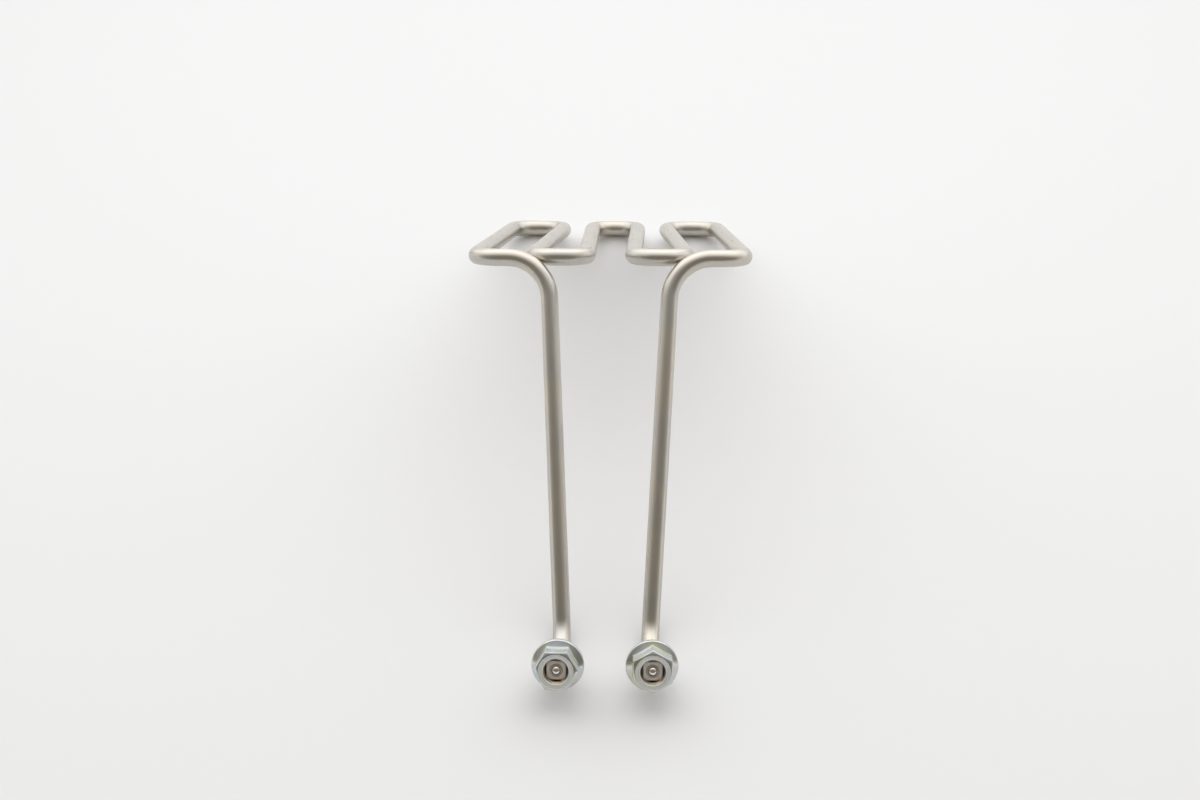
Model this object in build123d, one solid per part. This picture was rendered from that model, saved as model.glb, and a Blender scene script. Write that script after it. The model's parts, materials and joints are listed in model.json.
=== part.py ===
from build123d import *
import math
import os

# A tubular heating element: one stainless sheath bent into a flat serpentine and two legs,
# with a threaded bush, a flange nut and an insulated terminal pin at each end.
# Millimetres.  The element lies the way it rests on a table: on the back bars of its
# serpentine and on the two bends below its legs.

# ---- Driving dimensions: the sheath and what is pressed inside it ----
sheath_diameter = 8.5
sheath_wall = 0.75
coil_diameter = 3.2
pin_diameter = 3.2
filling_clearance = 0.1
cold_length = 62.0

# ---- Driving dimensions: the serpentine, between tube centre lines ----
serpentine_depth = 174.0
outer_run_offset = 66.5
inner_run_offset = 38.0
centre_run_offset = 11.5
inner_front_setback = 3.0
outer_lean_angle = 2.7
inner_lean_angle = 3.0
centre_lean_angle = -0.5
corner_radius = 12.0

# ---- Driving dimensions: the legs ----
leg_length = 189.0
leg_spacing = 60.4
leg_taper_angle = 2.9
leg_to_serpentine_angle = 73.0
leg_bend_radius = 21.0
terminal_bend_radius = 19.0
terminal_splay_angle = 2.5

# ---- Driving dimensions: the bushes, along the terminal's axis ----
elbow_to_collar = 19.5
collar_diameter = 17.0
collar_thickness = 3.0
panel_gap = 2.5
thread_diameter = 11.8
bush_reach = 12.0
square_length = 5.5
square_across_flats = 9.5
bush_mouth_diameter = 6.2
bush_end_chamfer = 0.5
braze_clearance = 0.03

# ---- Driving dimensions: the flange nuts ----
nut_height = 12.0
nut_across_flats = 18.0
nut_flange_diameter = 24.4
nut_rim_thickness = 1.9
nut_flange_slope_angle = 25.0
nut_chamfer_angle = 30.0
nut_mouth_chamfer = 0.6
left_nut_turn_angle = 0.0
right_nut_turn_angle = 30.0

# ---- Driving dimensions: the terminal ends ----
bead_length = 8.5
bead_clearance = 0.05
bead_recess = 0.2
seal_length = 6.0
pin_head_diameter = 4.1
pin_head_length = 1.0
pin_dome_height = 1.0

# ---- Worked out from the driving dimensions ----
sheath_radius = sheath_diameter / 2
bore_radius = sheath_radius - sheath_wall
collar_front = elbow_to_collar + collar_thickness
nut_seat = collar_front + panel_gap
bush_end = collar_front + bush_reach
square_start = bush_end - square_length
bead_front = bush_end - bead_recess
bead_back = bead_front - bead_length
seal_back = bead_back - seal_length
outer_lean = serpentine_depth * math.tan(math.radians(outer_lean_angle))
inner_lean = serpentine_depth * math.tan(math.radians(inner_lean_angle))
centre_lean = serpentine_depth * math.tan(math.radians(centre_lean_angle))

LEFT = -1
RIGHT = 1


def leg_up():
    """Direction of a leg's plane from its elbow up to the serpentine, seen from the side."""
    angle = math.radians(leg_to_serpentine_angle)
    return Vector(0, math.cos(angle), math.sin(angle))


def leg_top(side):
    """Corner where a leg's centre line meets its front bar."""
    return Vector(side * leg_spacing / 2, 0, 0)


def leg_point(side, distance):
    """Point on a leg's centre line, a distance down from its top corner."""
    taper = math.radians(leg_taper_angle)
    down = leg_up() * (-math.cos(taper) * distance)
    inwards = Vector(-side * math.sin(taper) * distance, 0, 0)
    return leg_top(side) + down + inwards


def terminal_axis(side):
    """Direction of a terminal, forwards and a little outwards, level with the serpentine."""
    splay = math.radians(terminal_splay_angle)
    return Vector(side * math.sin(splay), -math.cos(splay), 0)


def terminal_point(side, distance):
    """Point on a terminal's axis, a distance out from the elbow below its leg."""
    return leg_point(side, leg_length) + terminal_axis(side) * distance


def terminal_plane(side, distance):
    """Plane across a terminal's axis, whose Z points out and whose Y points up."""
    axis = terminal_axis(side)
    across = Vector(0, 0, 1).cross(axis)
    return Plane(origin=terminal_point(side, distance), x_dir=across, z_dir=axis)


def loop_corners(side):
    """Corners of one half of the serpentine, from its outer front corner to its middle."""
    return [
        Vector(side * outer_run_offset, 0, 0),
        Vector(side * (outer_run_offset - outer_lean), serpentine_depth, 0),
        Vector(side * (inner_run_offset - inner_lean), serpentine_depth, 0),
        Vector(side * inner_run_offset, inner_front_setback, 0),
        Vector(side * centre_run_offset, inner_front_setback, 0),
        Vector(side * (centre_run_offset - centre_lean), serpentine_depth, 0),
    ]


def element_path(sheath_end, leg_start):
    """Centre line of the whole tube.  It starts and ends on the terminal axes, sheath_end out
    from the elbows, or on the legs, leg_start below the serpentine, if that is given."""
    corners = [leg_top(LEFT)] + loop_corners(LEFT)
    corners += loop_corners(RIGHT)[::-1] + [leg_top(RIGHT)]
    serpentine_radii = [corner_radius] * (len(corners) - 2)
    radii = [leg_bend_radius] + serpentine_radii + [leg_bend_radius]
    if leg_start is None:
        elbows = [leg_point(LEFT, leg_length), leg_point(RIGHT, leg_length)]
        ends = [terminal_point(LEFT, sheath_end), terminal_point(RIGHT, sheath_end)]
        points = [ends[0], elbows[0]] + corners + [elbows[1], ends[1]]
        radii = [terminal_bend_radius] + radii + [terminal_bend_radius]
    else:
        ends = [leg_point(LEFT, leg_start), leg_point(RIGHT, leg_start)]
        points = [ends[0]] + corners + [ends[1]]
    return FilletPolyline(*points, radius=radii)


def pin_path(side, pin_end):
    """Centre line of one terminal pin, from its outer end round the elbow and up the leg."""
    pin_back = leg_point(side, leg_length - cold_length)
    points = [terminal_point(side, pin_end), leg_point(side, leg_length), pin_back]
    return FilletPolyline(*points, radius=terminal_bend_radius)


def rod_along(path, radius):
    """Round rod swept along a path of straight runs and tangent arcs."""
    start = Plane(origin=path @ 0, z_dir=path % 0)
    return sweep(start * Circle(radius), path=path)


def tube_along(path, outer_radius, inner_radius):
    """Open-ended tube along a path: an outer skin, an inner skin and a ring across each end."""
    skins = []
    for radius in (outer_radius, inner_radius):
        skins += rod_along(path, radius).faces().filter_by(GeomType.PLANE, reverse=True)
    ring = Circle(outer_radius) - Circle(inner_radius)
    start = Plane(origin=path @ 0, z_dir=-(path % 0)) * ring
    end = Plane(origin=path @ 1, z_dir=path % 1) * ring
    return Solid(Shell(skins + [start.face(), end.face()]))


def disc_along(side, start, end, radius):
    """Round bar on a terminal's axis between two distances from the elbow."""
    bar = Cylinder(radius, end - start, align=(Align.CENTER, Align.CENTER, Align.MIN))
    return terminal_plane(side, start) * bar


def threaded_bush(side):
    """Bush brazed over the tube's end: a collar, the threaded body and a square-milled end."""
    collar = disc_along(side, elbow_to_collar, collar_front, collar_diameter / 2)
    collar = chamfer(collar.edges().filter_by(GeomType.CIRCLE), bush_end_chamfer)
    body = disc_along(side, elbow_to_collar, bush_end, thread_diameter / 2)
    body = chamfer(body.edges().filter_by(GeomType.CIRCLE), bush_end_chamfer)
    on_base = (Align.CENTER, Align.CENTER, Align.MIN)
    stock = Box(collar_diameter, collar_diameter, square_length, align=on_base)
    square = Box(square_across_flats, square_across_flats, square_length, align=on_base)
    square = chamfer(square.faces().sort_by(Axis.Z)[-1].edges(), bush_end_chamfer)
    milled_away = terminal_plane(side, square_start) * (stock - square)
    socket = disc_along(side, elbow_to_collar, square_start, sheath_radius + braze_clearance)
    mouth = disc_along(side, elbow_to_collar, bush_end, bush_mouth_diameter / 2)
    return collar + body - milled_away - socket - mouth


def flange_nut(side, turn):
    """Hexagon nut with a conical flange, chamfered corners and a countersunk thread."""
    body = extrude(RegularPolygon(nut_across_flats / 2, 6, major_radius=False, rotation=0), nut_height)
    corner_radius_of_hexagon = nut_across_flats / 2 / math.cos(math.radians(30))
    chamfer_drop = (corner_radius_of_hexagon - nut_across_flats / 2 + nut_mouth_chamfer) * math.tan(
        math.radians(nut_chamfer_angle))
    face_radius = nut_across_flats / 2 - nut_mouth_chamfer
    envelope = Polyline(
        (0, 0),
        (corner_radius_of_hexagon, 0),
        (corner_radius_of_hexagon, nut_height - chamfer_drop),
        (face_radius, nut_height),
        (0, nut_height),
        close=True,
    )
    body &= revolve(Plane.XZ * make_face(envelope), axis=Axis.Z)
    flange_radius = nut_flange_diameter / 2
    cone_rise = (flange_radius - face_radius) * math.tan(math.radians(nut_flange_slope_angle))
    flange_outline = Polyline(
        (0, 0),
        (flange_radius, 0),
        (flange_radius, nut_rim_thickness),
        (face_radius, nut_rim_thickness + cone_rise),
        (0, nut_rim_thickness + cone_rise),
        close=True,
    )
    flange = revolve(Plane.XZ * make_face(flange_outline), axis=Axis.Z)
    rim_edges = flange.edges().filter_by(GeomType.CIRCLE).filter_by(
        lambda edge: abs(edge.radius - flange_radius) < 1e-6)
    flange = fillet(rim_edges, nut_rim_thickness * 0.3)
    bore = Cylinder(thread_diameter / 2, nut_height, align=(Align.CENTER, Align.CENTER, Align.MIN))
    mouth = Cone(thread_diameter / 2, thread_diameter / 2 + nut_mouth_chamfer, nut_mouth_chamfer,
                 align=(Align.CENTER, Align.CENTER, Align.MAX))
    countersink = Pos(0, 0, nut_height) * mouth
    seat_countersink = Rot(180, 0, 0) * mouth
    nut = body + flange - bore - countersink - seat_countersink
    return terminal_plane(side, nut_seat) * Rot(0, 0, turn) * nut


def insulator_bead(side):
    """Ceramic bead: a nose in the bush's mouth and a wider shank inside the tube's end."""
    nose = disc_along(side, bead_back, bead_front, bush_mouth_diameter / 2 - bead_clearance)
    shank = disc_along(side, bead_back, square_start - bead_clearance, bore_radius - bead_clearance)
    hole = disc_along(side, bead_back, bead_front, pin_diameter / 2 + bead_clearance)
    return nose + shank - hole


def end_seal(side):
    """Resin plug that closes the filling behind the bead."""
    plug = disc_along(side, seal_back, bead_back, bore_radius)
    return plug - disc_along(side, seal_back, bead_back, pin_diameter / 2)


def terminal_pin(side):
    """Cold pin: a rod from the coil's end out through the bead, with a domed head on it."""
    rod = rod_along(pin_path(side, bead_front), pin_diameter / 2)
    on_base = (Align.CENTER, Align.CENTER, Align.MIN)
    head = Cylinder(pin_head_diameter / 2, pin_head_length, align=on_base)
    dome_radius = ((pin_head_diameter / 2) ** 2 + pin_dome_height ** 2) / (2 * pin_dome_height)
    ball = Pos(0, 0, pin_head_length + pin_dome_height - dome_radius) * Sphere(dome_radius)
    above = Box(pin_head_diameter, pin_head_diameter, pin_dome_height, align=on_base)
    dome = ball & Pos(0, 0, pin_head_length) * above
    return rod + terminal_plane(side, bead_front) * (head + dome)


def make_element():
    """All pieces by node name, with the serpentine flat and level."""
    whole_path = element_path(square_start, None)
    filling_path = element_path(seal_back, None)
    coil_path = element_path(None, leg_length - cold_length)
    filling_bore = coil_diameter / 2 + filling_clearance
    pieces = {
        "sheath_tube": tube_along(whole_path, sheath_radius, bore_radius),
        "insulation_filling": tube_along(filling_path, bore_radius - filling_clearance, filling_bore),
        "resistance_coil": rod_along(coil_path, coil_diameter / 2),
    }
    for name, side, turn in (("left", LEFT, left_nut_turn_angle), ("right", RIGHT, right_nut_turn_angle)):
        pieces[name + "_threaded_bush"] = threaded_bush(side)
        pieces[name + "_flange_nut"] = flange_nut(side, turn)
        pieces[name + "_insulator_bead"] = insulator_bead(side)
        pieces[name + "_end_seal"] = end_seal(side)
        pieces[name + "_terminal_pin"] = terminal_pin(side)
    return pieces


def dip_onto(point, radius):
    """Dip, in degrees, of the serpentine's back that brings the back bars and a round of this
    radius about a point down to one level."""
    drop = -point.Z
    reach = serpentine_depth - point.Y
    span = math.hypot(drop, reach)
    return math.degrees(math.atan2(drop, reach) + math.asin((radius - sheath_radius) / span))


def elbow_bend_centre():
    """Centre of the bend between the left leg and its terminal."""
    elbow = leg_point(LEFT, leg_length)
    up_leg = (leg_top(LEFT) - elbow).normalized()
    half_angle = math.radians(up_leg.get_angle(terminal_axis(LEFT)) / 2)
    inwards = (up_leg + terminal_axis(LEFT)).normalized()
    return elbow + inwards * (terminal_bend_radius / math.sin(half_angle))


def rest_tilt():
    """Angle, in degrees, by which the serpentine's back dips when the element stands on its
    back bars and on the bends below its legs, or on the nuts' rims if those reach lower."""
    on_bends = dip_onto(elbow_bend_centre(), terminal_bend_radius + sheath_radius)
    rim = terminal_point(LEFT, nut_seat) - Vector(0, 0, nut_flange_diameter / 2)
    return max(on_bends, dip_onto(rim, 0))


def lay_down(pieces):
    """Tilt the element to rest, with its lowest points at Z = 0 and its plan centred."""
    tilted = {name: Rot(-rest_tilt(), 0, 0) * shape for name, shape in pieces.items()}
    box = Compound(list(tilted.values())).bounding_box()
    centre = box.center()
    shift = Pos(-centre.X, -centre.Y, -box.min.Z)
    return {name: shift * shape for name, shape in tilted.items()}


os.makedirs("parts", exist_ok=True)
for node, shape in lay_down(make_element()).items():
    export_step(shape, f"parts/{node}.step")
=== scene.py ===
"""Looks of a tubular heating element and the pale studio that it stands in.

The sheath, the flange nuts, the threaded bushes, their threads and the resistance wire are built
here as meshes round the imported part.  The pins, beads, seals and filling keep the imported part's
own meshes.  Sizes are in millimetres and degrees, and a finished mesh is in metres.
"""

import json
import logging
import math
from dataclasses import dataclass
from enum import Enum
from typing import Any, Callable, ClassVar, Sequence

import bmesh
import bpy
from mathutils import Matrix, Vector

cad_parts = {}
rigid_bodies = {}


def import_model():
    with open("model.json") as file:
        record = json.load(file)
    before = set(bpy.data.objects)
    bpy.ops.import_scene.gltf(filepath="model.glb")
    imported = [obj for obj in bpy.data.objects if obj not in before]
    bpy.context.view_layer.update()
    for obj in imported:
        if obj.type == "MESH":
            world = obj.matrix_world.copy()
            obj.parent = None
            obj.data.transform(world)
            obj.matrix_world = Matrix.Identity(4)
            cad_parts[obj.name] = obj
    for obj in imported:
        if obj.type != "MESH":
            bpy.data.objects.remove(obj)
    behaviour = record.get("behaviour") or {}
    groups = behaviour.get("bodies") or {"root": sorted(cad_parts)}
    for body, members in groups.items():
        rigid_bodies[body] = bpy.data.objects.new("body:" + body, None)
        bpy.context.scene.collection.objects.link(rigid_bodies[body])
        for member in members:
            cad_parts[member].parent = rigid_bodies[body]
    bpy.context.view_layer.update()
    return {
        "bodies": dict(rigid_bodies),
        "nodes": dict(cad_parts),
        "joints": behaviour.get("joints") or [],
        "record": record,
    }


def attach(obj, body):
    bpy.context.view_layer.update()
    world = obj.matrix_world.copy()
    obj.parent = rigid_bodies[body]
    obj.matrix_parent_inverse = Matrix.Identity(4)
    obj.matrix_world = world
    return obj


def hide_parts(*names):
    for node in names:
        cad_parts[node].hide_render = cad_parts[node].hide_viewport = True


LOG = logging.getLogger("heating_element")
MM = 0.001

Colour = tuple[float, float, float]
Scale = tuple[float, float, float]
Socket = bpy.types.NodeSocket
NodeTree = bpy.types.NodeTree
Material = bpy.types.Material
Mesh = bpy.types.Mesh
Object = bpy.types.Object


class Side(Enum):
    """Which half of the element a piece belongs to, and the sign of its X."""

    LEFT = -1
    RIGHT = 1

    @property
    def label(self) -> str:
        """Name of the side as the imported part's nodes use it."""
        return self.name.lower()


# Where the tube runs


@dataclass(frozen=True)
class SheathRoute:
    """Centre line of the tube, with the serpentine flat, level and its front bars on Y = 0."""

    serpentine_depth: float = 174.0
    outer_run_offset: float = 66.5
    inner_run_offset: float = 38.0
    centre_run_offset: float = 11.5
    inner_front_setback: float = 3.0
    outer_lean_angle: float = 2.7
    inner_lean_angle: float = 3.0
    centre_lean_angle: float = -0.5
    corner_radius: float = 12.0
    leg_length: float = 189.0
    leg_spacing: float = 60.4
    leg_taper_angle: float = 2.9
    leg_to_serpentine_angle: float = 73.0
    leg_bend_radius: float = 21.0
    terminal_bend_radius: float = 19.0
    terminal_splay_angle: float = 2.5
    arc_step_angle: float = 5.0

    def leg_up(self) -> Vector:
        """Direction of a leg's plane from its elbow up to the serpentine, seen from the side."""
        angle = math.radians(self.leg_to_serpentine_angle)
        return Vector((0.0, math.cos(angle), math.sin(angle)))

    def leg_point(self, side: Side, distance: float) -> Vector:
        """Finds a point on a leg's centre line.

        Args:
            side: The leg's side.
            distance: How far down the leg from its corner with the front bar.

        Returns:
            The point, in the route's flat frame.
        """
        taper = math.radians(self.leg_taper_angle)
        top = Vector((side.value * self.leg_spacing / 2, 0.0, 0.0))
        down = self.leg_up() * (-math.cos(taper) * distance)
        inwards = Vector((-side.value * math.sin(taper) * distance, 0.0, 0.0))
        return top + down + inwards

    def terminal_axis(self, side: Side) -> Vector:
        """Direction of a terminal, forwards and a little outwards."""
        splay = math.radians(self.terminal_splay_angle)
        return Vector((side.value * math.sin(splay), -math.cos(splay), 0.0))

    def terminal_point(self, side: Side, distance: float) -> Vector:
        """Point on a terminal's axis, a distance out from the elbow below its leg."""
        return self.leg_point(side, self.leg_length) + self.terminal_axis(side) * distance

    def loop_corners(self, side: Side) -> list[Vector]:
        """Corners of one half of the serpentine, from its outer front corner to its middle."""
        outer_lean, inner_lean, centre_lean = [
            self.serpentine_depth * math.tan(math.radians(angle))
            for angle in (self.outer_lean_angle, self.inner_lean_angle, self.centre_lean_angle)]
        across_and_back = (
            (self.outer_run_offset, 0.0),
            (self.outer_run_offset - outer_lean, self.serpentine_depth),
            (self.inner_run_offset - inner_lean, self.serpentine_depth),
            (self.inner_run_offset, self.inner_front_setback),
            (self.centre_run_offset, self.inner_front_setback),
            (self.centre_run_offset - centre_lean, self.serpentine_depth),
        )
        return [Vector((side.value * across, back, 0.0)) for across, back in across_and_back]

    def rounded(self, points: Sequence[Vector], radii: Sequence[float]) -> list[Vector]:
        """Rounds the inner corners of a broken line.

        Args:
            points: The line's corners, with its two ends.
            radii: Bend radius at each inner corner.

        Returns:
            The line's points, with each bend as short steps of arc_step_angle or less.
        """
        line = [points[0]]
        for before, corner, after, radius in zip(points, points[1:], points[2:], radii):
            back = (before - corner).normalized()
            ahead = (after - corner).normalized()
            turn = math.pi - back.angle(ahead)
            inwards = (back + ahead).normalized()
            centre = corner + inwards * (radius / math.cos(turn / 2))
            start = corner + back * (radius * math.tan(turn / 2)) - centre
            end = corner + ahead * (radius * math.tan(turn / 2)) - centre
            steps = max(2, math.ceil(math.degrees(turn) / self.arc_step_angle))
            for step in range(steps + 1):
                share = step / steps
                from_start = math.sin((1 - share) * turn) / math.sin(turn)
                from_end = math.sin(share * turn) / math.sin(turn)
                line.append(centre + start * from_start + end * from_end)
        line.append(points[-1])
        return line

    def _through_serpentine(self, ends: Callable[[Side], list[Vector]],
                            bends: list[float]) -> list[Vector]:
        """Rounded line from one leg through the whole serpentine to the other leg.

        Args:
            ends: Finds the points of a side's leg, from its end up to the front bar.
            bends: Bend radii of a leg, in the same order.

        Returns:
            The line's points.
        """
        left, right = [ends(side) + self.loop_corners(side) for side in Side]
        corners = [self.corner_radius] * (len(left) + len(right) - 2 * (len(bends) + 1))
        return self.rounded(left + right[::-1], bends + corners + bends[::-1])

    def centre_line(self, sheath_end: float) -> list[Vector]:
        """Whole centre line, between points sheath_end out from the two elbows."""
        return self._through_serpentine(
            lambda side: [self.terminal_point(side, sheath_end),
                          self.leg_point(side, self.leg_length), self.leg_point(side, 0.0)],
            [self.terminal_bend_radius, self.leg_bend_radius])

    def hot_line(self, leg_start: float) -> list[Vector]:
        """Centre line of the heated length, between points leg_start down the two legs."""
        return self._through_serpentine(
            lambda side: [self.leg_point(side, leg_start), self.leg_point(side, 0.0)],
            [self.leg_bend_radius])


@dataclass(frozen=True)
class Placement:
    """How the flat route lies on the table: its dip at the back, and where its zero point is."""

    dip: float
    origin: Vector

    @classmethod
    def from_record(cls, record: dict[str, Any], route: SheathRoute, head_middle: float) -> "Placement":
        """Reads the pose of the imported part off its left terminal.

        Args:
            record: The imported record, whose mounts give the terminal's place and axis.
            route: The tube's route.
            head_middle: Distance from the elbow to the middle of the pin's head.

        Returns:
            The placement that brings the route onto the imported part.
        """
        terminal = next(m for m in record["mounts"] if m["name"] == "left_terminal")
        axis = Vector(terminal["axis"])
        dip = math.atan2(axis.z, -axis.y)
        turned = Matrix.Rotation(-dip, 3, "X") @ route.terminal_point(Side.LEFT, head_middle)
        return cls(dip, Vector(terminal["pos_m"]) - turned * MM)

    def point(self, flat: Vector) -> Vector:
        """Point of the flat frame, in metres where it lies on the table."""
        return Matrix.Rotation(-self.dip, 3, "X") @ flat * MM + self.origin

    def terminal_matrix(self, route: SheathRoute, side: Side) -> Matrix:
        """Frame at an elbow in millimetres, whose Z runs out along the terminal and Y is up."""
        out = route.terminal_axis(side)
        across = Vector((0.0, 0.0, 1.0)).cross(out)
        up = out.cross(across)
        turn = Matrix.Rotation(-self.dip, 3, "X") @ Matrix((across, up, out)).transposed()
        place = self.point(route.terminal_point(side, 0.0))
        return Matrix.Translation(place) @ turn.to_4x4() @ Matrix.Scale(MM, 4)


# Node wiring


class Wiring:
    """Places nodes in one tree and joins their sockets."""

    def __init__(self, tree: NodeTree) -> None:
        """Takes the tree to work in."""
        self.tree = tree

    def add(self, kind: str, inputs: dict[str | int, Any] | None = None, **settings: Any) -> bpy.types.Node:
        """Adds a node.

        Args:
            kind: The node's type name.
            inputs: Value or source socket for each input, by its name or number.
            settings: The node's own properties.

        Returns:
            The new node.
        """
        node = self.tree.nodes.new(kind)
        for name, value in settings.items():
            setattr(node, name, value)
        self.feed_all(node, inputs or {})
        return node

    def result(self, kind: str, inputs: dict[str | int, Any] | None = None, **settings: Any) -> Socket:
        """First output of a new node."""
        return self.add(kind, inputs, **settings).outputs[0]

    def feed_all(self, node: bpy.types.Node, inputs: dict[str | int, Any]) -> None:
        """Feeds several inputs of a node, each by its name or number."""
        for key, value in inputs.items():
            self.feed(node.inputs[key], value)

    def feed(self, socket: Socket, value: Any) -> None:
        """Joins a source socket to an input, or sets the input's own value."""
        if isinstance(value, Socket):
            self.tree.links.new(value, socket)
        elif socket.type == "RGBA":
            socket.default_value = (*value, 1.0)
        else:
            socket.default_value = value

    def math(self, operation: str, *values: Any) -> Socket:
        """Result of a Math node with these values or sockets."""
        return self.result("ShaderNodeMath", dict(enumerate(values)), operation=operation)

    def band(self, value: Any, low: float, high: float, out_low: float = 0.0,
             out_high: float = 1.0) -> Socket:
        """Smooth step of a value from low to high, put out between out_low and out_high."""
        node = self.add("ShaderNodeMapRange", interpolation_type="SMOOTHSTEP", clamp=True)
        names = ("Value", "From Min", "From Max", "To Min", "To Max")
        self.feed_all(node, dict(zip(names, (value, low, high, out_low, out_high))))
        return node.outputs["Result"]

    def blend(self, share: Any, first: Any, second: Any) -> Socket:
        """Colour between two colours or colour sockets, by a share from 0 to 1."""
        node = self.add("ShaderNodeMix", data_type="RGBA")
        self.feed_all(node, {0: share, 6: first, 7: second})
        return node.outputs[2]

    def vector_math(self, operation: str, *values: Any) -> Socket:
        """Result of a Vector Math node with these values or sockets."""
        return self.result("ShaderNodeVectorMath", dict(enumerate(values)), operation=operation)


def new_group(name: str, kind: str, inputs: dict[str, list[str]],
              outputs: dict[str, list[str]]) -> tuple[Wiring, Any]:
    """Starts a node group with named sockets.

    Args:
        name: Name of the group.
        kind: Its tree type.
        inputs: Names of the inputs, by their kind.
        outputs: Names of the outputs, by their kind.

    Returns:
        The wiring of the group's tree, and the sockets that give its inputs.
    """
    tree = bpy.data.node_groups.new(name, kind)
    for direction, sockets in (("INPUT", inputs), ("OUTPUT", outputs)):
        for socket_kind, names in sockets.items():
            for socket_name in names:
                tree.interface.new_socket(socket_name, in_out=direction,
                                          socket_type="NodeSocket" + socket_kind)
    wiring = Wiring(tree)
    return wiring, wiring.add("NodeGroupInput").outputs


def cleared_nodes(owner: Material | bpy.types.World) -> Wiring:
    """Wiring of a material's or a world's own tree, with its first nodes gone."""
    owner.use_nodes = True
    owner.node_tree.nodes.clear()
    return Wiring(owner.node_tree)


def new_object(name: str, data: bpy.types.ID) -> Object:
    """Puts a new object in the scene."""
    made = bpy.data.objects.new(name, data)
    bpy.context.scene.collection.objects.link(made)
    return made


def set_modifier_inputs(modifier: bpy.types.NodesModifier, values: dict[str, Any]) -> None:
    """Sets a Geometry Nodes modifier's inputs, found by name and set by identifier."""
    for item in modifier.node_group.interface.items_tree:
        if item.item_type == "SOCKET" and item.in_out == "INPUT" and item.name in values:
            modifier[item.identifier] = values[item.name]


# Geometry Nodes trees


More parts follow.
